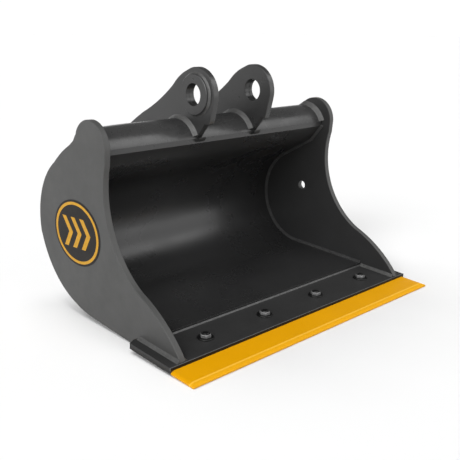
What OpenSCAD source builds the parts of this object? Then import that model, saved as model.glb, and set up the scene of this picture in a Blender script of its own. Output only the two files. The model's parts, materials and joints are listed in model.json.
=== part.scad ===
// Excavator grading bucket: two side plates, a rolled shell, a torque tube with two pin ears,
// and a bolted cutting edge under a welded lip plate.
// +X runs across the bucket, +Y to its back, +Z up. The origin is under the middle of its box.

/* [Side plates] */
// Distance over the outer faces of the side plates
plate_span = 1000; // [900:10:1200]
// Thickness of a side plate
side_t = 20; // [16:1:24]
// Diameter of the lifting hole in the right-hand side plate
lift_hole_d = 32; // [20:1:40]

/* [Cutting edge] */
// Width of the cutting edge and of the lip plate
edge_w = 1072; // [1050:2:1100]
// Thickness of the cutting edge
edge_t = 10; // [9:1:12]
// Length of cutting edge that shows in front of the lip plate
edge_show = 93; // [80:1:94]
// Length of the bevel along the front of the cutting edge
bevel_len = 16; // [10:1:40]
// Width of the bevel at each end of the cutting edge
bevel_side = 12; // [6:1:24]
// Height of the blunt nose that the bevels leave
nose_t = 5; // [2:0.5:6]
// Rise of the cutting edge towards the back, in degrees
edge_angle = 2.4; // [2.2:0.1:2.8]
// Thickness of the lip plate
lip_t = 8; // [6:1:10]
// Distance from the front edge to the back of the lip plate
lip_back = 290; // [284:1:296]

/* [Shell] */
// Thickness of the rolled shell
shell_t = 10; // [8:1:12]
// Distance from the front edge to the front of the shell
shell_front = 247; // [235:1:260]
// Inside radius of the heel of the shell
heel_r = 184; // [178:1:188]
// Distance from the front edge to the centre of the heel
heel_s = 567; // [560:1:572]

/* [Torque tube] */
// Outside radius of the torque tube
tube_r = 89; // [86:1:91]
// Wall of the torque tube
tube_t = 10; // [8:1:12]

/* [Ears] */
// Clear width between the two ears
ear_gap = 224; // [200:2:250]
// Thickness of an ear plate
ear_t = 21; // [18:1:25]
// Radius of the round end of an ear
ear_r = 84; // [80:1:88]
// Diameter of the pin bores
pin_d = 70; // [60:1:76]
// Radius of the front boss
boss_r = 64; // [58:1:68]
// Radius of the rear boss
rear_boss_r = 58; // [54:1:62]
// Thickness of a boss
boss_t = 12.5; // [10:0.5:14]

/* [Fasteners] */
// Diameter of the cutting edge bolts
bolt_d = 20; // [16:1:22]
// Distance between neighbouring bolts
bolt_pitch = 242; // [220:2:260]
// Distance of the row's middle to the right of the bucket's middle
bolt_shift = 14; // [-20:1:20]
// Distance from the front edge to the row of bolts
bolt_s = 170; // [165:1:185]
// Diameter of the round washers
washer_d = 50; // [44:1:54]
// Thickness of the washers
washer_t = 4; // [3:0.5:8]
// Width across the flats of the nuts
nut_flats = 30; // [28:1:34]
// Height of the nuts
nut_h = 10; // [9:1:18]

/* [Welds] */
// Leg length of the fillets round the ears
leg = 12; // [8:1:13]
// Leg length of the fillets along the side plates, inside the bucket
side_leg = 8; // [5:1:12]
// Leg length of the fillets round the ends of the torque tube
end_leg = 14; // [8:1:18]
// Leg length of the fillets between the side plates and the lip plate
lip_leg = 9; // [6:1:11]
// Leg length of the small fillet at the front of the shell
seam_leg = 4; // [3:1:7]

/* [Hidden] */
$fn = 96;
GREY = "#5a5b5b";
DARK = "#3a3b3c";
BLACK = "#191a1b";
WELD = "#6e7070";
YELLOW = "#f0b010";

// Side view: [distance from the front edge, height]
stack_t = edge_t + lip_t;
floor_t = stack_t + shell_t;
inner_x = plate_span / 2 - side_t;
ear_in = ear_gap / 2;
ear_out = ear_in + ear_t;
heel_c = incl(heel_s, floor_t + heel_r);
tube_c = [542, 511];
pin_front = [458, 681];
pin_rear = [800, 484];
rear_r = 72;
crease = [503, 474.5];
tube_face_y = 458.5;
lift_hole = [548, 285];
flange_tip = tube_c + tube_r * polar(167);
back_y = pin_rear.x + rear_r;
// How far the shell's faces run on past the flange tip before they are cut to the tube
overrun = 70;
// How far the middle of a bead stands off its corner, as a share of its leg
bead_fill = 0.42;

// Points and curves of the side view
function polar(a) = [cos(a), sin(a)];
function incl(s, t) = [
    s * cos(edge_angle) - t * sin(edge_angle),
    s * sin(edge_angle) + t * cos(edge_angle)
];
function unit(v) = v / norm(v);
function right_of(v) = [v.y, -v.x];
function arc(c, r, a0, a1, n) = [for (i = [0:n]) c + r * polar(a0 + (a1 - a0) * i / n)];
function turn(a) = a - 360 * floor(a / 360);
function centre3(p, q, s) =
    let (
        u = q - p,
        v = s - p,
        d = 2 * (u.x * v.y - u.y * v.x),
        uu = u * u,
        vv = v * v
    )
    p + [v.y * uu - u.y * vv, u.x * vv - v.x * uu] / d;
function angle_of(v) = atan2(v.y, v.x);
// Arc from p to s through q
function arc3(p, q, s, n) =
    let (
        c = centre3(p, q, s),
        a0 = angle_of(p - c),
        up = turn(angle_of(s - c) - a0),
        mid = turn(angle_of(q - c) - a0),
        sweep = mid < up ? up : up - 360
    )
    arc(c, norm(p - c), a0, a0 + sweep, n);

// Inner face of the shell: floor, heel, straight top, then the flange up to the tube
heel_to_crease = crease - heel_c;
leave_angle = angle_of(heel_to_crease) - acos(heel_r / norm(heel_to_crease));
top_dir = unit(crease - heel_c - heel_r * polar(leave_angle));
flange_dir = unit(flange_tip - crease);

// The line at distance t outside the inner face, run on past the flange tip by over
function shell_line(t, over) =
    let (
        n1 = right_of(top_dir),
        n2 = right_of(flange_dir)
    )
    concat(
        [incl(shell_front, floor_t - t)],
        arc(heel_c, heel_r + t, edge_angle - 90, leave_angle, 40),
        [
            crease + t * (n1 + n2) / (1 + n1 * n2),
            flange_tip + t * n2 + over * flange_dir
        ]
    );
function bead_profile(size) = [[0, 0], [size, 0], size * bead_fill * [1, 1], [0, size]];
function reversed(list) = [for (i = [len(list) - 1:-1:0]) list[i]];

// Outline of a side plate, from the tip at the lip plate up the front edge and round the back
throat_c = [145.7, 420.6];
throat_r = 289.7;
throat_low = throat_c + throat_r * polar(-62);
horn_c = [498, 549.5];
horn_r = 80;
shoulder_c = [577, 268];
shoulder_r = 248;
function side_outline() = concat(
    [incl(98, stack_t), [103, 33]],
    arc3([108, 40], [180, 108], throat_low, 12),
    arc(throat_c, throat_r, -59, 17.5, 30),
    arc(horn_c, horn_r, 182, 32, 30),
    arc3([570, 581], [582, 565], [600, 551], 5),
    arc3([610, 544], [662, 514], shoulder_c + shoulder_r * polar(58), 6),
    arc(shoulder_c, shoulder_r, 56, -8, 30),
    arc([548.5, 305], 282, -18, -74, 24),
    arc3([603, 26], [560, 17.5], [510, 12.5], 6),
    [[300, 0], [incl(lip_back, 0).x, 0], incl(lip_back, stack_t)]
);

// Outline of an ear before the tube and the shell are cut from it
function ear_outline() = concat(
    [[470, 542], [452, 542]],
    arc3([446, 544], [411, 573], [390, 611], 10),
    arc(pin_front, ear_r, 196, 66, 40),
    arc3([505, 752.5], [538, 735.5], [568, 710.5], 8),
    arc3([577, 702], [650, 650.5], [740, 603], 12),
    arc3([752, 596.5], [794, 572.5], [838, 545.5], 5),
    arc(pin_rear, rear_r, 57, -50, 28),
    [[730, 335], [600, 300], [500, 480]]
);

// Places a side view outline across the bucket, between two distances from the middle plane
module across(x0, x1) {
    translate([x0, -back_y / 2, 0])
        rotate([90, 0, 90])
            linear_extrude(x1 - x0)
                children();
}

// Both sides at once, mirrored about the middle plane
module both_sides() {
    children();
    mirror([1, 0, 0])
        children();
}

// A cylinder along X at a point of the side view
module rod(p, r, x0, x1) {
    translate([x0, p.x - back_y / 2, p.y])
        rotate([0, 90, 0])
            cylinder(h = x1 - x0, r = r);
}

// Frame of the cutting edge: +Y along it to the back, +Z out of its top face
module on_edge() {
    translate([0, -back_y / 2, 0])
        rotate([edge_angle, 0, 0])
            children();
}

// Everything on the hollow side of the shell's outer face, grown by g
module hollow2d(g = 0) {
    line = shell_line(shell_t + g, overrun);
    tip = line[len(line) - 1];
    polygon(concat(line, [[200, tip.y], [200, -20]]));
}

// The outside of the tube, cut flat along the front
module tube_outside2d() {
    intersection() {
        translate(tube_c)
            circle(tube_r);
        translate([tube_face_y, 0])
            square(1000);
    }
}

module shell2d() {
    seat = tube_c.y - 35;
    intersection() {
        polygon(concat(shell_line(0, overrun), reversed(shell_line(shell_t, overrun))));
        union() {
            square([back_y, seat]);
            tube_outside2d();
        }
    }
}

module tube2d() {
    difference() {
        tube_outside2d();
        translate(tube_c)
            circle(tube_r - tube_t);
        hollow2d();
    }
}

module ear2d() {
    difference() {
        polygon(ear_outline());
        tube_outside2d();
        hollow2d();
    }
}

module side_plate() {
    across(inner_x, plate_span / 2)
        polygon(side_outline());
}

module side_plate_left() {
    color(GREY)
        mirror([1, 0, 0])
            side_plate();
}

module side_plate_right() {
    color(GREY)
        difference() {
            side_plate();
            rod(lift_hole, lift_hole_d / 2, inner_x - 1, plate_span / 2 + 1);
        }
}

module shell() {
    color(DARK)
        across(-inner_x, inner_x)
            shell2d();
}

module torque_tube() {
    color(GREY)
        across(-inner_x, inner_x)
            tube2d();
}

module ear() {
    difference() {
        across(ear_in, ear_out)
            ear2d();
        for (p = [pin_front, pin_rear])
            rod(p, pin_d / 2, ear_in - 1, ear_out + 1);
    }
}

module ear_left() {
    color(GREY)
        mirror([1, 0, 0])
            ear();
}

module ear_right() {
    color(GREY)
        ear();
}

// Round boss on the outer face of an ear, with a small chamfer
module boss(p, r) {
    edge = 2;
    translate([ear_out, p.x - back_y / 2, p.y])
        rotate([0, 90, 0])
            rotate_extrude()
                polygon([
                    [pin_d / 2, 0], [r, 0], [r, boss_t - edge], [r - edge, boss_t],
                    [pin_d / 2, boss_t]
                ]);
}

module front_boss_left() {
    color(GREY)
        mirror([1, 0, 0])
            boss(pin_front, boss_r);
}

module front_boss_right() {
    color(GREY)
        boss(pin_front, boss_r);
}

module rear_boss_left() {
    color(GREY)
        mirror([1, 0, 0])
            boss(pin_rear, rear_boss_r);
}

module rear_boss_right() {
    color(GREY)
        boss(pin_rear, rear_boss_r);
}

// Plan view of the lip plate and the cutting edge: the back corners are cut off
module plan2d(front) {
    cut_x = 20;
    cut_y = 11;
    half = edge_w / 2;
    polygon([
        [-half, front], [half, front], [half, lip_back - cut_y], [half - cut_x, lip_back],
        [cut_x - half, lip_back], [-half, lip_back - cut_y]
    ]);
}

module at_bolts() {
    for (i = [-1.5:1:1.5])
        translate([bolt_shift + i * bolt_pitch, bolt_s, 0])
            children();
}

bolt_hole_r = bolt_d / 2 + 1;
head_r = bolt_d / 2 + 9;
head_t = 8;

module lip_plate() {
    color(BLACK)
        on_edge()
            difference() {
                translate([0, 0, edge_t])
                    linear_extrude(lip_t)
                        plan2d(edge_show);
                at_bolts()
                    translate([0, 0, -1])
                        cylinder(h = stack_t + 2, r = bolt_hole_r);
            }
}

// Cuts the end bevel off the shown part of the cutting edge at +X
module end_bevel() {
    half = edge_w / 2;
    translate([0, edge_show, 0])
        rotate([90, 0, 0])
            linear_extrude(edge_show + 1)
                polygon([[half, nose_t], [half + 1, nose_t], [half + 1, edge_t + 1],
                    [half - bevel_side, edge_t + 1], [half - bevel_side, edge_t]]);
}

module cutting_edge() {
    color(YELLOW)
        on_edge()
            difference() {
                linear_extrude(edge_t)
                    plan2d(0);
                translate([-edge_w / 2 - 1, 0, 0])
                    rotate([90, 0, 90])
                        linear_extrude(edge_w + 2)
                            polygon([[-1, nose_t], [0, nose_t], [bevel_len, edge_t],
                                [bevel_len, edge_t + 1], [-1, edge_t + 1]]);
                both_sides()
                    end_bevel();
                at_bolts() {
                    translate([0, 0, -1])
                        cylinder(h = edge_t + 2, r = bolt_hole_r);
                    cylinder(h = head_t, r1 = head_r, r2 = bolt_hole_r);
                }
            }
}

// Countersunk bolts, their heads flush with the underside
nut_base = stack_t + washer_t;
bolt_end = nut_base + nut_h;
module edge_bolts() {
    tip = 2;
    head_gap = 0.5;
    color(BLACK)
        on_edge()
            at_bolts()
                rotate_extrude()
                    polygon([
                        [0, 0], [head_r - head_gap, 0], [bolt_d / 2, head_t],
                        [bolt_d / 2, bolt_end], [bolt_d / 2 - tip, bolt_end + tip],
                        [0, bolt_end + tip]
                    ]);
}

// Hexagon nuts, their upper corners turned off to a cone
module edge_nuts() {
    cone_foot_r = nut_flats * 0.72;
    cone_top_r = nut_flats * 0.46;
    color(BLACK)
        on_edge()
            at_bolts()
                translate([0, 0, nut_base])
                    difference() {
                        intersection() {
                            cylinder(h = nut_h, r = nut_flats / sqrt(3), $fn = 6);
                            cylinder(h = nut_h, r1 = cone_foot_r, r2 = cone_top_r);
                        }
                        translate([0, 0, -1])
                            cylinder(h = nut_h + 2, r = bolt_d / 2);
                    }
}

module edge_washers() {
    round_off = 2;
    hole_r = bolt_d / 2 + 0.5;
    color(BLACK)
        on_edge()
            at_bolts()
                translate([0, 0, stack_t])
                    rotate_extrude()
                        polygon([
                            [hole_r, 0], [washer_d / 2, 0],
                            [washer_d / 2, washer_t - round_off],
                            [washer_d / 2 - round_off, washer_t], [hole_r, washer_t]
                        ]);
}

// Fillet bead round the tube against a wall at x, growing to +X when dir = 1
module tube_bead(x, dir, size) {
    translate([x, tube_c.x - back_y / 2, tube_c.y])
        rotate([0, 90 * dir, 0])
            rotate_extrude()
                polygon([for (p = bead_profile(size)) p + [tube_r, 0]]);
}

// Keeps the part of a bead that lies between two directions from the tube's centre
module keep_tube_sector(a0, a1) {
    intersection() {
        children();
        across(-inner_x, inner_x)
            polygon(concat([tube_c], arc(tube_c, 3 * tube_r, a0, a1, 6)));
    }
}

bead_low = 154;
bead_high = 8;
module ear_tube_weld() {
    keep_tube_sector(bead_high, bead_low) {
        tube_bead(ear_out, 1, leg);
        tube_bead(ear_in, -1, leg);
    }
}

module ear_tube_weld_left() {
    color(WELD)
        mirror([1, 0, 0])
            ear_tube_weld();
}

module ear_tube_weld_right() {
    color(WELD)
        ear_tube_weld();
}

// Bead under the toe of each ear, on the front of the tube
module ear_toe_welds() {
    spread = 3;
    color(DARK)
        both_sides()
            across(ear_in - spread, ear_out + spread)
                difference() {
                    polygon([
                        [438, 552], [440, 543], [446, 535.5], [456, 532], [470, 532], [470, 552]
                    ]);
                    polygon(ear_outline());
                    tube_outside2d();
                }
}

// Fillet beads between the ears and the back of the shell, all of them behind the tube
module shell_bead2d(size) {
    intersection() {
        difference() {
            hollow2d(size);
            hollow2d();
            translate(tube_c)
                circle(tube_r + leg);
        }
        polygon(ear_outline());
        translate([tube_c.x, 0])
            square([back_y, 2 * tube_c.y]);
    }
}

module ear_shell_welds() {
    step = leg / 3;
    color(WELD)
        both_sides()
            for (i = [0:2]) {
                across(ear_out + i * step, ear_out + (i + 1) * step)
                    shell_bead2d(leg - i * step);
                across(ear_in - (i + 1) * step, ear_in - i * step)
                    shell_bead2d(leg - i * step);
            }
}

module boss_bead(p, r) {
    size = 6;
    translate([ear_out, p.x - back_y / 2, p.y])
        rotate([0, 90, 0])
            rotate_extrude()
                polygon([for (q = bead_profile(size)) q + [r, 0]]);
}

module boss_welds() {
    color(WELD)
        both_sides() {
            boss_bead(pin_front, boss_r);
            boss_bead(pin_rear, rear_boss_r);
        }
}

// Stepped fillet along the inside of the shell, against the right-hand side plate
module side_shell_weld() {
    steps = 4;
    step = side_leg / steps;
    for (i = [0:steps - 1])
        across(inner_x - (i + 1) * step, inner_x - i * step)
            polygon(concat(shell_line(0, 0), reversed(shell_line(i * step - side_leg, 0))));
}

module side_shell_weld_left() {
    color(WELD)
        mirror([1, 0, 0])
            side_shell_weld();
}

module side_shell_weld_right() {
    color(WELD)
        side_shell_weld();
}

module tube_end_weld() {
    keep_tube_sector(-20, 158)
        intersection() {
            tube_bead(inner_x, -1, end_leg);
            across(inner_x - end_leg, inner_x)
                polygon(side_outline());
        }
}

module tube_end_weld_left() {
    color(WELD)
        mirror([1, 0, 0])
            tube_end_weld();
}

module tube_end_weld_right() {
    color(WELD)
        tube_end_weld();
}

// Fillets between a side plate and the top of the lip plate, outside and inside
module lip_side_weld() {
    outer_front = 100;
    outer_back = lip_back - 6;
    inner_front = 102;
    inner_back = shell_front - seam_leg;
    on_edge() {
        translate([plate_span / 2, outer_back, stack_t])
            rotate([90, 0, 0])
                linear_extrude(outer_back - outer_front)
                    polygon(bead_profile(lip_leg));
        translate([inner_x, inner_back, stack_t])
            rotate([90, 0, 0])
                linear_extrude(inner_back - inner_front)
                    mirror([1, 0, 0])
                        polygon(bead_profile(lip_leg));
    }
}

module lip_side_weld_left() {
    color(WELD)
        mirror([1, 0, 0])
            lip_side_weld();
}

module lip_side_weld_right() {
    color(WELD)
        lip_side_weld();
}

module lip_seam_weld() {
    color(WELD)
        on_edge()
            translate([-inner_x, shell_front, stack_t])
                rotate([90, 0, 90])
                    linear_extrude(2 * inner_x)
                        mirror([1, 0, 0])
                            polygon(bead_profile(seam_leg));
}

// Bead where the back of the tube lands on the shell
module tube_back_weld() {
    size = 9;
    reach = 2 * tube_r;
    color(WELD)
        across(-inner_x, inner_x)
            difference() {
                intersection() {
                    translate(tube_c)
                        circle(tube_r + size);
                    hollow2d(size);
                    polygon([tube_c, tube_c + reach * polar(-80), tube_c + reach * polar(-35)]);
                }
                translate(tube_c)
                    circle(tube_r);
                hollow2d();
            }
}

module decal() {
    half_w = 131;
    half_h = 104;
    lean = -3;
    centre = [594, 274];
    color(BLACK)
        across(-plate_span / 2 - 1, -plate_span / 2)
            translate(centre)
                rotate(lean)
                    polygon([for (a = [0:5:355]) [half_w * cos(a), half_h * sin(a)]]);
}

side_plate_left();
side_plate_right();
shell();
torque_tube();
ear_left();
ear_right();
front_boss_left();
front_boss_right();
rear_boss_left();
rear_boss_right();
lip_plate();
cutting_edge();
edge_bolts();
edge_nuts();
edge_washers();
ear_tube_weld_left();
ear_tube_weld_right();
ear_toe_welds();
ear_shell_welds();
boss_welds();
side_shell_weld_left();
side_shell_weld_right();
tube_end_weld_left();
tube_end_weld_right();
lip_side_weld_left();
lip_side_weld_right();
lip_seam_weld();
tube_back_weld();
decal();
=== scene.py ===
"""Looks for the excavator grading bucket: paint, welds, decal, floor, light and camera round the CAD."""

import json
import math

import bmesh
import bpy
from mathutils import Matrix, Vector


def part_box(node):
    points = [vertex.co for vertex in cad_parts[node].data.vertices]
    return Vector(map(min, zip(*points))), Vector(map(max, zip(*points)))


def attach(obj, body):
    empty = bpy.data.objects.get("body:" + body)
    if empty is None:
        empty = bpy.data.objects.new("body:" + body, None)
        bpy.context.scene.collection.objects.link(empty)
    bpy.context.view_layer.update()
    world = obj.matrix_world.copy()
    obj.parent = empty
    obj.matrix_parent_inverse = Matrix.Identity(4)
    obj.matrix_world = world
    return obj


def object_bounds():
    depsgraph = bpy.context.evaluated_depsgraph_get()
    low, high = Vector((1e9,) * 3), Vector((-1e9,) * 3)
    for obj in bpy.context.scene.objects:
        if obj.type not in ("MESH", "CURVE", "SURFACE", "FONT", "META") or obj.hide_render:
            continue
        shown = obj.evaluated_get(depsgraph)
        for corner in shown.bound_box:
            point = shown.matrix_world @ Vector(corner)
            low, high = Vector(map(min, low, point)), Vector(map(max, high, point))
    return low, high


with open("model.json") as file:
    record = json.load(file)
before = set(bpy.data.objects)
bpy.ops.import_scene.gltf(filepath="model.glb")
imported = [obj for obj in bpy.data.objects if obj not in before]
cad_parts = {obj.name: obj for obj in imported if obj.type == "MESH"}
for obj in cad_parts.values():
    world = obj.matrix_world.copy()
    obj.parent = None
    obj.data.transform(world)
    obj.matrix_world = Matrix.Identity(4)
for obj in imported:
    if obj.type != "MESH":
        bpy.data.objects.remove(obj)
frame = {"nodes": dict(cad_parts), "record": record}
nodes = frame["nodes"]
cad_low, cad_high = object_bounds()

MM = 0.001


def shade(colour, factor):
    return tuple(c * factor for c in colour)


def grey(level):
    return (level, level, level)


PLATE_GREY = (0.052, 0.052, 0.051)
TUBE_GREY = grey(0.030)
# Painted shade: the ears and bosses get a grey darker than the plates', for the light falling off on them
LUG_SHADED_GREY = grey(0.025)
WELD_GREY = (0.058, 0.058, 0.057)
SCOOP_WELD_GREY = grey(0.055)
# Painted shade: the welds at the ears' toes near black, in the crease by the tube
TOE_WELD_SHADE_BLACK = grey(0.008)
SCOOP_BLACK = (0.0175, 0.0175, 0.0177)
LIP_BLACK = grey(0.021)
# Painted shade: near black in the pin bores
BORE_SHADE_BLACK = grey(0.006)
YELLOW = (0.63, 0.29, 0.0)


# ---------------------------------------------------------------- materials

# The dot product of rounded and flat normal where the light corner mark, part worn paint and part painted
# highlight, starts, and where it is full
CORNER_MARK_STARTS, CORNER_MARK_IS_FULL = 0.98, 0.75

# Grain of sprayed paint: (features per metre, detail, height)
ORANGE_PEEL = ((520.0, 2.0, 0.06 * MM), (46.0, 2.0, 0.2 * MM))


class Shader:
    """A node material with one Principled shader and short helpers for its patterns."""

    def __init__(self, name, base, roughness, specular=0.5, metallic=0.0):
        self.material = bpy.data.materials.new(name)
        self.material.use_nodes = True
        self.material.diffuse_color = (*base, 1)
        self.tree = self.material.node_tree
        self.principled = self.tree.nodes["Principled BSDF"]
        self.principled.inputs["Base Color"].default_value = (*base, 1)
        self.principled.inputs["Roughness"].default_value = roughness
        self.principled.inputs["Specular IOR Level"].default_value = specular
        self.principled.inputs["Metallic"].default_value = metallic
        self.place = self.tree.nodes.new("ShaderNodeTexCoord").outputs["Object"]

    def link(self, source, target):
        self.tree.links.new(source, target)

    def axes(self, vector):
        """The X, Y and Z sockets of a vector."""
        node = self.tree.nodes.new("ShaderNodeSeparateXYZ")
        self.link(vector, node.inputs["Vector"])
        return [node.outputs[axis] for axis in "XYZ"]

    def noise(self, scale, detail, roughness=0.55, stretch=(1, 1, 1)):
        """Noise with scale features per metre, on object coordinates stretched by (x, y, z)."""
        mapping = self.tree.nodes.new("ShaderNodeMapping")
        mapping.inputs["Scale"].default_value = stretch
        self.link(self.place, mapping.inputs["Vector"])
        node = self.tree.nodes.new("ShaderNodeTexNoise")
        node.inputs["Scale"].default_value = scale
        node.inputs["Detail"].default_value = detail
        node.inputs["Roughness"].default_value = roughness
        self.link(mapping.outputs["Vector"], node.inputs["Vector"])
        return node.outputs["Fac"]

    def spread(self, value, low, high, to_low=0.0, to_high=1.0):
        """value mapped from low..high to to_low..to_high, clamped."""
        node = self.tree.nodes.new("ShaderNodeMapRange")
        for key, number in zip(("From Min", "From Max", "To Min", "To Max"), (low, high, to_low, to_high)):
            node.inputs[key].default_value = number
        self.link(value, node.inputs["Value"])
        return node.outputs["Result"]

    def cloud(self, scale, detail, to_low=0.0, to_high=1.0):
        """Noise that fills the whole of to_low..to_high."""
        return self.spread(self.noise(scale, detail), 0.3, 0.7, to_low, to_high)

    def times(self, a, b):
        """A socket times a socket or a number."""
        node = self.tree.nodes.new("ShaderNodeMath")
        node.operation = "MULTIPLY"
        self.link(a, node.inputs[0])
        if isinstance(b, float):
            node.inputs[1].default_value = b
        else:
            self.link(b, node.inputs[1])
        return node.outputs["Value"]

    def blend(self, mask, a, b):
        """Colour a where mask is 0 and b where it is 1. Either may be a tuple or a socket."""
        node = self.tree.nodes.new("ShaderNodeMix")
        node.data_type = "RGBA"
        self.link(mask, node.inputs["Factor"])
        for source, target in ((a, node.inputs["A"]), (b, node.inputs["B"])):
            if isinstance(source, tuple):
                target.default_value = (*source, 1)
            else:
                self.link(source, target)
        return node.outputs["Result"]

    def tints(self, scale, detail, base, darkest, lightest):
        """A colour that drifts between two shades of base."""
        return self.blend(self.cloud(scale, detail), shade(base, darkest), shade(base, lightest))

    def edges(self, radius):
        """1 on corners sharper than the rounding radius, 0 on flat faces."""
        rounded = self.tree.nodes.new("ShaderNodeBevel")
        rounded.samples = 4
        rounded.inputs["Radius"].default_value = radius
        flat = self.tree.nodes.new("ShaderNodeNewGeometry").outputs["Normal"]
        dot = self.tree.nodes.new("ShaderNodeVectorMath")
        dot.operation = "DOT_PRODUCT"
        self.link(rounded.outputs["Normal"], dot.inputs[0])
        self.link(flat, dot.inputs[1])
        return self.spread(dot.outputs["Value"], CORNER_MARK_STARTS, CORNER_MARK_IS_FULL)

    def rubbed_and_highlit(self, mark_strength, radius=2.2 * MM, scale=38.0, low=0.42, high=0.62):
        """Light patches along the corners, part worn paint and part painted highlight, at most as strong as
        the given strength.
        """
        # Corners painted lighter: worn paint, and painted highlight where rounded corners would catch light
        patches = self.spread(self.noise(scale, 5.0, 0.65), low, high)
        return self.times(self.times(self.edges(radius), patches), mark_strength)

    def colour(self, socket):
        self.link(socket, self.principled.inputs["Base Color"])

    def rough(self, socket):
        self.link(socket, self.principled.inputs["Roughness"])

    def bump(self, waves):
        """Stacks (features per metre, detail, height) noises into one bumped normal."""
        normal = None
        for scale, detail, height in waves:
            node = self.tree.nodes.new("ShaderNodeBump")
            node.inputs["Strength"].default_value = 1.0
            node.inputs["Distance"].default_value = height
            self.link(self.noise(scale, detail), node.inputs["Height"])
            if normal is not None:
                self.link(normal, node.inputs["Normal"])
            normal = node.outputs["Normal"]
        self.link(normal, self.principled.inputs["Normal"])


def weld(name, base, roughness):
    """Painted weld metal: overlapping ripples and a little spatter under the paint."""
    s = Shader(name, base, roughness)
    s.colour(s.tints(60.0, 3.0, base, 0.8, 1.25))
    s.rough(s.cloud(40.0, 3.0, roughness - 0.06, roughness + 0.08))
    s.bump(((150.0, 2.0, 0.9 * MM), (480.0, 2.0, 0.2 * MM)))
    return s.material


def steel(name, base, roughness):
    """Blackened steel of bolts and washers: mottled, with corners painted light grey as a painted highlight.
    """
    s = Shader(name, base, roughness, metallic=0.55)
    body = s.tints(120.0, 4.0, base, 0.75, 1.4)
    # Painted highlight: corners lightened to grey
    s.colour(s.blend(s.times(s.edges(0.9 * MM), 0.55), body, grey(0.2)))
    s.rough(s.cloud(90.0, 3.0, roughness - 0.08, roughness + 0.08))
    s.bump(((700.0, 2.0, 0.05 * MM),))
    return s.material


def film(name, base, roughness, specular):
    """Printed vinyl: even colour with a trace of print mottle and a few shallow wrinkles."""
    s = Shader(name, base, roughness, specular)
    s.colour(s.tints(70.0, 3.0, base, 0.9, 1.1))
    s.rough(s.cloud(25.0, 3.0, roughness - 0.04, roughness + 0.06))
    s.bump(((30.0, 2.0, 0.15 * MM),))
    return s.material


def tube_paint():
    """Graphite paint on the torque tube: slow drift, fine mottle, and edges lightened as worn paint and
    painted highlight.
    """
    s = Shader("graphite_paint", TUBE_GREY, 0.27)
    drift = s.tints(3.1, 4.0, TUBE_GREY, 0.84, 1.16)
    fine = s.spread(s.noise(210.0, 2.0), 0.35, 0.65, 0.0, 0.5)
    mottled = s.blend(fine, drift, shade(TUBE_GREY, 1.12))
    s.colour(s.blend(s.rubbed_and_highlit(0.5), mottled, grey(0.13)))
    s.rough(s.cloud(17.0, 4.0, 0.22, 0.34))
    s.bump(ORANGE_PEEL)
    return s.material


def side_paint():
    """Plate grey outside and along the edges, scoop black as painted shade on the faces that look into the
    bucket, and edges lightened as worn paint and painted highlight.
    """
    s = Shader("side_plate_paint", PLATE_GREY, 0.48, 0.4)
    inside = min(v.co.x for v in nodes["side_plate_right"].data.vertices)
    from_middle = s.tree.nodes.new("ShaderNodeMath")
    from_middle.operation = "ABSOLUTE"
    s.link(s.axes(s.place)[0], from_middle.inputs[0])
    outer = s.spread(from_middle.outputs["Value"], inside + 0.4 * MM, inside + 1.2 * MM)
    drift = s.cloud(3.1, 4.0)
    outside_grey = s.blend(drift, shade(PLATE_GREY, 0.92), shade(PLATE_GREY, 1.08))
    # Painted shade: the faces that look into the bucket get the scoop's black
    inside_shade_black = s.blend(drift, shade(SCOOP_BLACK, 1.25), shade(SCOOP_BLACK, 1.5))
    s.colour(s.blend(s.rubbed_and_highlit(0.5), s.blend(outer, inside_shade_black, outside_grey), grey(0.17)))
    s.rough(s.cloud(17.0, 4.0, 0.44, 0.56))
    s.bump(ORANGE_PEEL)
    return s.material


def edge_paint():
    """Yellow as far as the lip plate, with painted highlight on the sloping front and along its ridge, edges
    lightened as worn paint and painted highlight, and the lip's black over the tail that runs under it.
    """
    s = Shader("wear_edge_paint", YELLOW, 0.5, 0.15)
    y = s.axes(s.place)[1]
    lip_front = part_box("lip_plate")[0].y
    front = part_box("cutting_edge")[0].y
    # Painted highlight: the sloping front face lighter, and a light line along the ridge at the back of the
    # slope
    sloping_face_highlight = s.spread(y, front + 17 * MM, front + 15 * MM, 0.0, 0.25)
    crest_highlight = s.times(
        s.spread(y, front + 19 * MM, front + 17 * MM, 0.0, 0.6),
        s.spread(y, front + 12 * MM, front + 14 * MM),
    )
    yellow = s.tints(5.0, 4.0, YELLOW, 0.97, 1.03)
    yellow = s.blend(sloping_face_highlight, yellow, (0.80, 0.42, 0.02))
    yellow = s.blend(crest_highlight, yellow, (0.86, 0.50, 0.06))
    tail = s.spread(y, lip_front - 0.3 * MM, lip_front + 0.5 * MM)
    body = s.blend(tail, yellow, LIP_BLACK)
    rubbed_and_highlit = s.rubbed_and_highlit(0.5, 1.6 * MM, 60.0, 0.45, 0.65)
    s.colour(s.blend(rubbed_and_highlit, body, (0.72, 0.42, 0.06)))
    s.rough(s.cloud(23.0, 4.0, 0.38, 0.5))
    s.bump(((480.0, 2.0, 0.06 * MM), (30.0, 2.0, 0.15 * MM)))
    return s.material


def scoop_paint():
    """Scoop black inside, and a little darker than the tube's grey on the flange that carries the tube."""
    s = Shader("scoop_paint", SCOOP_BLACK, 0.27)
    crease_height, flange_back = 474.5 * MM, 79 * MM
    _, y, z = s.axes(s.place)
    above = s.spread(z, crease_height - 0.5 * MM, crease_height + 0.5 * MM)
    in_front = s.spread(y, flange_back, flange_back - 1 * MM)
    inner = s.tints(2.7, 4.0, SCOOP_BLACK, 0.85, 1.2)
    scuffs = s.spread(s.noise(6.0, 2.0, 0.5, (0.35, 1, 1)), 0.55, 0.8, 0.0, 0.3)
    inner = s.blend(scuffs, inner, shade(SCOOP_BLACK, 1.35))
    s.colour(s.blend(s.times(above, in_front), inner, shade(TUBE_GREY, 0.85)))
    s.rough(s.cloud(7.0, 5.0, 0.24, 0.33))
    s.bump(((420.0, 2.0, 0.04 * MM), (9.0, 1.0, 0.1 * MM)))
    return s.material


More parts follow.
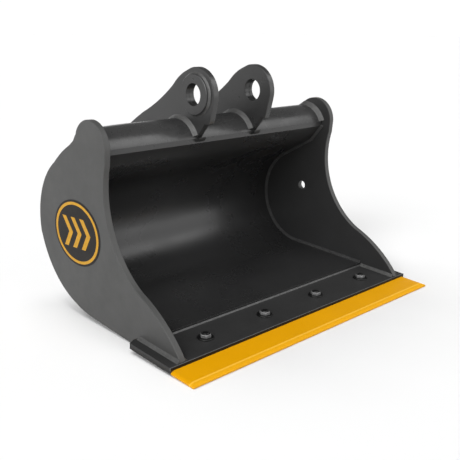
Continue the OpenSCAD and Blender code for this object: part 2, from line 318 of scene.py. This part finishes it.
def lug_paint():
    """Graphite paint on ears and bosses in a grey kept darker as painted shade, edges lightened as worn
    paint and painted highlight, and pin bores painted near black as painted shade.
    """
    s = Shader("lug_paint", LUG_SHADED_GREY, 0.3)
    bore_radius = 35 * MM
    _, y, z = s.axes(s.place)
    in_side_view = s.tree.nodes.new("ShaderNodeCombineXYZ")
    s.link(y, in_side_view.inputs["Y"])
    s.link(z, in_side_view.inputs["Z"])
    body = s.blend(s.rubbed_and_highlit(0.6), s.tints(3.1, 4.0, LUG_SHADED_GREY, 0.9, 1.1), grey(0.13))
    # Painted shade: the pin bores near black
    for name in ("front_boss_left", "rear_boss_left"):
        low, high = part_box(name)
        reach = s.tree.nodes.new("ShaderNodeVectorMath")
        reach.operation = "DISTANCE"
        s.link(in_side_view.outputs["Vector"], reach.inputs[0])
        reach.inputs[1].default_value = (0, (low.y + high.y) / 2, (low.z + high.z) / 2)
        bore_shade = s.spread(reach.outputs["Value"], bore_radius + 0.9 * MM, bore_radius + 0.4 * MM)
        body = s.blend(bore_shade, body, BORE_SHADE_BLACK)
    s.colour(body)
    s.rough(s.cloud(17.0, 4.0, 0.26, 0.37))
    s.bump(ORANGE_PEEL)
    return s.material


def lip_paint():
    """Black paint with a painted highlight along the top front corner of the lip plate, corners lightened as
    worn paint and painted highlight, and painted shade on its front face.
    """
    s = Shader("lip_paint", LIP_BLACK, 0.5, 0.3)
    y = s.axes(s.place)[1]
    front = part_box("lip_plate")[0].y
    body = s.blend(s.rubbed_and_highlit(0.5), s.tints(3.1, 4.0, LIP_BLACK, 0.9, 1.1), grey(0.12))
    # Painted highlight: a light line along the top front corner
    corner_highlight = s.times(
        s.spread(y, front + 1.2 * MM, front + 1.6 * MM),
        s.spread(y, front + 4.6 * MM, front + 3.6 * MM, 0.0, 0.75),
    )
    body = s.blend(corner_highlight, body, grey(0.14))
    # Painted shade: the front face near black
    front_face_shade = s.spread(y, front + 1.2 * MM, front + 0.8 * MM)
    s.colour(s.blend(front_face_shade, body, grey(0.002)))
    s.rough(s.cloud(17.0, 4.0, 0.45, 0.57))
    s.bump(ORANGE_PEEL)
    return s.material


def nut_steel():
    """Blackened nuts with painted light on their flanks and painted shade on the faces that turn upwards."""
    s = Shader("nut_steel", grey(0.02), 0.38, metallic=0.3)
    facing_up = s.axes(s.tree.nodes.new("ShaderNodeNewGeometry").outputs["Normal"])[2]
    worn = s.cloud(150.0, 4.0)
    # Painted light on faces that turn outwards, painted shade on faces that turn upwards
    lit_sides = s.blend(worn, grey(0.13), grey(0.2))
    top = s.blend(worn, grey(0.010), grey(0.02))
    s.colour(s.blend(s.spread(facing_up, 0.92, 0.75), top, lit_sides))
    s.rough(s.cloud(90.0, 3.0, 0.32, 0.46))
    s.bump(((700.0, 2.0, 0.05 * MM),))
    return s.material


def dress(obj, material):
    obj.data.materials.clear()
    obj.data.materials.append(material)


# ---------------------------------------------------------------- CAD nodes

def round_corners(obj, width):
    """Breaks the sharp corners of a CAD node, as grinding and paint do."""
    join = obj.modifiers.new("join", "WELD")
    join.merge_threshold = 0.01 * MM
    flat = obj.modifiers.new("flat", "DECIMATE")
    flat.decimate_type = "DISSOLVE"
    flat.angle_limit = math.radians(0.5)
    corner = obj.modifiers.new("corner", "BEVEL")
    corner.width = width
    corner.segments = 2
    corner.limit_method = "ANGLE"
    corner.angle_limit = math.radians(28)
    corner.use_clamp_overlap = True
    even = obj.modifiers.new("even", "WEIGHTED_NORMAL")
    even.keep_sharp = False
    even.weight = 60


# Materials by the record's slots, and then the nodes that differ from their slot
materials = {
    "grey_paint": tube_paint(),
    "dark_paint": scoop_paint(),
    "black_paint": lip_paint(),
    "weld_paint": weld("weld_paint", WELD_GREY, 0.42),
    "yellow_paint": edge_paint(),
    "black_steel": steel("black_fasteners", grey(0.012), 0.34),
    "decal_film": film("black_film", (0.008, 0.006, 0.005), 0.4, 0.15),
}
for part in frame["record"]["subparts"]:
    dress(nodes[part["node"]], materials[part["material_slot"]])

special = {
    ("side_plate_left", "side_plate_right"): side_paint(),
    ("side_shell_weld_left", "side_shell_weld_right", "lip_seam_weld"):
        weld("scoop_weld", SCOOP_WELD_GREY, 0.4),
    # The toe welds near black as painted shade
    ("ear_toe_welds",): weld("toe_weld", TOE_WELD_SHADE_BLACK, 0.5),
    ("edge_nuts",): nut_steel(),
    ("ear_left", "ear_right", "front_boss_left", "front_boss_right", "rear_boss_left", "rear_boss_right"):
        lug_paint(),
    # Washers near black: blackened steel, darkened further as painted shade round the nuts
    ("edge_washers",): steel("washer_steel_and_shade", grey(0.007), 0.42),
}
for names, material in special.items():
    for name in names:
        dress(nodes[name], material)

# Width of the broken corners, in millimetres
ROUNDED = {
    "side_plate_left": 2.2, "side_plate_right": 2.2, "ear_left": 2.2, "ear_right": 2.2,
    "lip_plate": 1.2, "cutting_edge": 1.2, "torque_tube": 1.0, "shell": 1.0,
    "edge_nuts": 0.8, "edge_washers": 0.6, "edge_bolts": 0.8, "ear_toe_welds": 1.5,
}
for name, width in ROUNDED.items():
    round_corners(nodes[name], width * MM)


# ---------------------------------------------------------------- decal print

DECAL_LEAN = math.radians(-3)
DECAL_HALF_WIDE, DECAL_HALF_HIGH = 131 * MM, 104 * MM
PRINT_SUNK, PRINT_PROUD = 0.2 * MM, 0.3 * MM


def print_on_decal(name, corners, faces, material):
    """Raised print: corners are (towards the front, up) from the decal's middle, and faces number them."""
    low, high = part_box("decal")
    centre = (low + high) / 2
    work = bmesh.new()
    points = []
    for u, v in corners:
        y = centre.y - u * math.cos(DECAL_LEAN) - v * math.sin(DECAL_LEAN)
        z = centre.z - u * math.sin(DECAL_LEAN) + v * math.cos(DECAL_LEAN)
        points.append(work.verts.new((low.x + PRINT_SUNK, y, z)))
    flat = [work.faces.new([points[i] for i in face]) for face in faces]
    grown = bmesh.ops.extrude_face_region(work, geom=flat)
    raised = [item for item in grown["geom"] if isinstance(item, bmesh.types.BMVert)]
    bmesh.ops.translate(work, verts=raised, vec=(-PRINT_PROUD - PRINT_SUNK, 0, 0))
    bmesh.ops.recalc_face_normals(work, faces=work.faces)
    mesh = bpy.data.meshes.new(name)
    work.to_mesh(mesh)
    work.free()
    piece = bpy.data.objects.new(name, mesh)
    bpy.context.scene.collection.objects.link(piece)
    dress(piece, material)
    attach(piece, "root")


def oval_ring(outer, inner, steps):
    """Corners and faces of an oval band between two fractions of the decal's size."""
    turns = [2 * math.pi * i / steps for i in range(steps)]
    corners = []
    for k in (outer, inner):
        corners += [(k * DECAL_HALF_WIDE * math.cos(a), k * DECAL_HALF_HIGH * math.sin(a)) for a in turns]
    faces = [(i, (i + 1) % steps, steps + (i + 1) % steps, steps + i) for i in range(steps)]
    return corners, faces


def chevron_row(middles, reach, tall, thick):
    """Corners and faces of a row of chevrons that point towards the front."""
    corners = []
    for u in middles:
        back, tip = u - reach, u + reach
        corners += [(back, tall), (back + thick, tall), (tip + thick, 0)]
        corners += [(back + thick, -tall), (back, -tall), (tip, 0)]
    faces = [range(6 * i, 6 * i + 6) for i in range(len(middles))]
    return corners, faces


ring = oval_ring(outer=0.935, inner=0.85, steps=96)
chevrons = chevron_row(
    middles=(-60 * MM, -10 * MM, 40 * MM), reach=17 * MM, tall=48 * MM, thick=22 * MM
)
print_yellow = film("print_yellow", (0.5, 0.255, 0.012), 0.5, 0.25)
print_on_decal("decal_ring", *ring, print_yellow)
print_on_decal("decal_chevrons", *chevrons, print_yellow)


# ---------------------------------------------------------------- stage, light, camera

middle = (cad_low + cad_high) / 2


def floor():
    """A pale floor, so wide that its far edge is lost in the sky, just under the bucket's lowest points."""
    half, drop = 60.0, 0.5 * MM
    mesh = bpy.data.meshes.new("floor")
    mesh.from_pydata(
        [(-half, -half, 0), (half, -half, 0), (half, half, 0), (-half, half, 0)], [], [(0, 1, 2, 3)]
    )
    obj = bpy.data.objects.new("floor", mesh)
    bpy.context.scene.collection.objects.link(obj)
    obj.location.z = -drop
    s = Shader("pale_floor", grey(0.86), 0.9, specular=0.0)
    s.colour(s.blend(s.cloud(2.0, 2.0), grey(0.855), grey(0.865)))
    dress(obj, s.material)
    return obj


def sky(horizon, zenith, low, high):
    """Bright up to the height low, falling to a dull ceiling at high. Heights are sines of the elevation."""
    world = bpy.data.worlds.new("studio")
    world.use_nodes = True
    tree = world.node_tree
    background = tree.nodes["Background"]
    background.inputs["Color"].default_value = (1, 1, 1, 1)
    direction = tree.nodes.new("ShaderNodeTexCoord")
    split = tree.nodes.new("ShaderNodeSeparateXYZ")
    fall = tree.nodes.new("ShaderNodeMapRange")
    for key, number in zip(("From Min", "From Max", "To Min", "To Max"), (low, high, horizon, zenith)):
        fall.inputs[key].default_value = number
    tree.links.new(direction.outputs["Generated"], split.inputs["Vector"])
    tree.links.new(split.outputs["Z"], fall.inputs["Value"])
    tree.links.new(fall.outputs["Result"], background.inputs["Strength"])
    bpy.context.scene.world = world


def hang(name, data, place, target, things):
    """Hangs a light at place, facing target, that reaches only the given objects."""
    obj = bpy.data.objects.new(name, data)
    bpy.context.scene.collection.objects.link(obj)
    obj.location = place
    obj.rotation_euler = (Vector(target) - obj.location).to_track_quat("-Z", "Y").to_euler()
    group = bpy.data.collections.new(name + "_lights")
    for thing in things:
        group.objects.link(thing)
    obj.light_linking.receiver_collection = group


def sun(name, direction, strength, softness, things):
    """A sun in the given direction, as wide as softness in degrees."""
    data = bpy.data.lights.new(name, "SUN")
    data.energy = strength
    data.angle = math.radians(softness)
    hang(name, data, direction, (0, 0, 0), things)


def softbox(name, place, target, size, radiance, things):
    """A glowing rectangle of the given (width, height)."""
    data = bpy.data.lights.new(name, "AREA")
    data.shape = "RECTANGLE"
    data.size, data.size_y = size
    data.energy = radiance * math.pi * size[0] * size[1]
    hang(name, data, place, target, things)


def panel(name, direction, distance, size, radiance, things):
    """A softbox seen from the middle of the bucket in the given direction."""
    place = middle + Vector(direction).normalized() * distance
    softbox(name, place, middle, size, radiance, things)


def bank(name, low_edge, high_edge, x_from, x_to, radiance, things):
    """A softbox along X in front of the bucket, between two edges given as (y, z), facing it."""
    rise = Vector((0, *high_edge)) - Vector((0, *low_edge))
    centre = (Vector((x_from, *low_edge)) + Vector((x_to, *high_edge))) / 2
    facing = rise.normalized().cross(Vector((1, 0, 0)))
    softbox(name, centre, centre + facing, (x_to - x_from, rise.length), radiance, things)


def camera():
    """A camera in front of the bucket's left corner, looking a little down on it."""
    yaw, pitch, roll = (math.radians(a) for a in (43.23, 15.83, 0.3))
    data = bpy.data.cameras.new("camera")
    data.sensor_width = 36.0
    data.lens = 54.2035
    data.shift_x, data.shift_y = -0.01022, -0.01804
    data.clip_start, data.clip_end = 0.05, 100.0
    obj = bpy.data.objects.new("camera", data)
    bpy.context.scene.collection.objects.link(obj)
    level = Matrix.Rotation(math.pi / 2 - pitch, 4, "X") @ Matrix.Rotation(roll, 4, "Z")
    place = Matrix.Translation((-1.5386, -1.6521, 0.8886))
    obj.matrix_world = place @ Matrix.Rotation(-yaw, 4, "Z") @ level
    bpy.context.scene.camera = obj


ground = [floor()]
bucket = [o for o in bpy.context.scene.objects if o.type == "MESH" and o not in ground]
sky(horizon=1.05, zenith=0.16, low=0.04, high=0.3)

# The floor's own lights keep it white at the horizon and give the bucket a soft shadow
sun("floor_top", direction=(0.0, 0.05, 1.0), strength=1.28, softness=40.0, things=ground)
sun("floor_back", direction=(-0.1, 0.62, 0.72), strength=1.36, softness=35.0, things=ground)
sun("floor_left", direction=(-0.75, -0.2, 0.55), strength=1.39, softness=30.0, things=ground)

# The bucket's lights
sun("overhead", direction=(-0.45, -0.2, 0.87), strength=1.8, softness=60.0, things=bucket)
panel("left_key", (-0.8, -0.35, 0.45), distance=3.6, size=(2.4, 2.2), radiance=4.3, things=bucket)
panel("back_fill", (0.1, 1.0, 0.2), distance=3.8, size=(3.0, 1.6), radiance=2.2, things=bucket)
bank("low_bank", (-3.0, 0.35), (-2.34, 2.4), x_from=0.6, x_to=3.6, radiance=1.6, things=bucket)
bank("high_bank", (-2.34, 2.4), (-1.0, 3.37), x_from=0.6, x_to=3.6, radiance=2.8, things=bucket)
camera()

bpy.context.scene.view_settings.view_transform = "Standard"
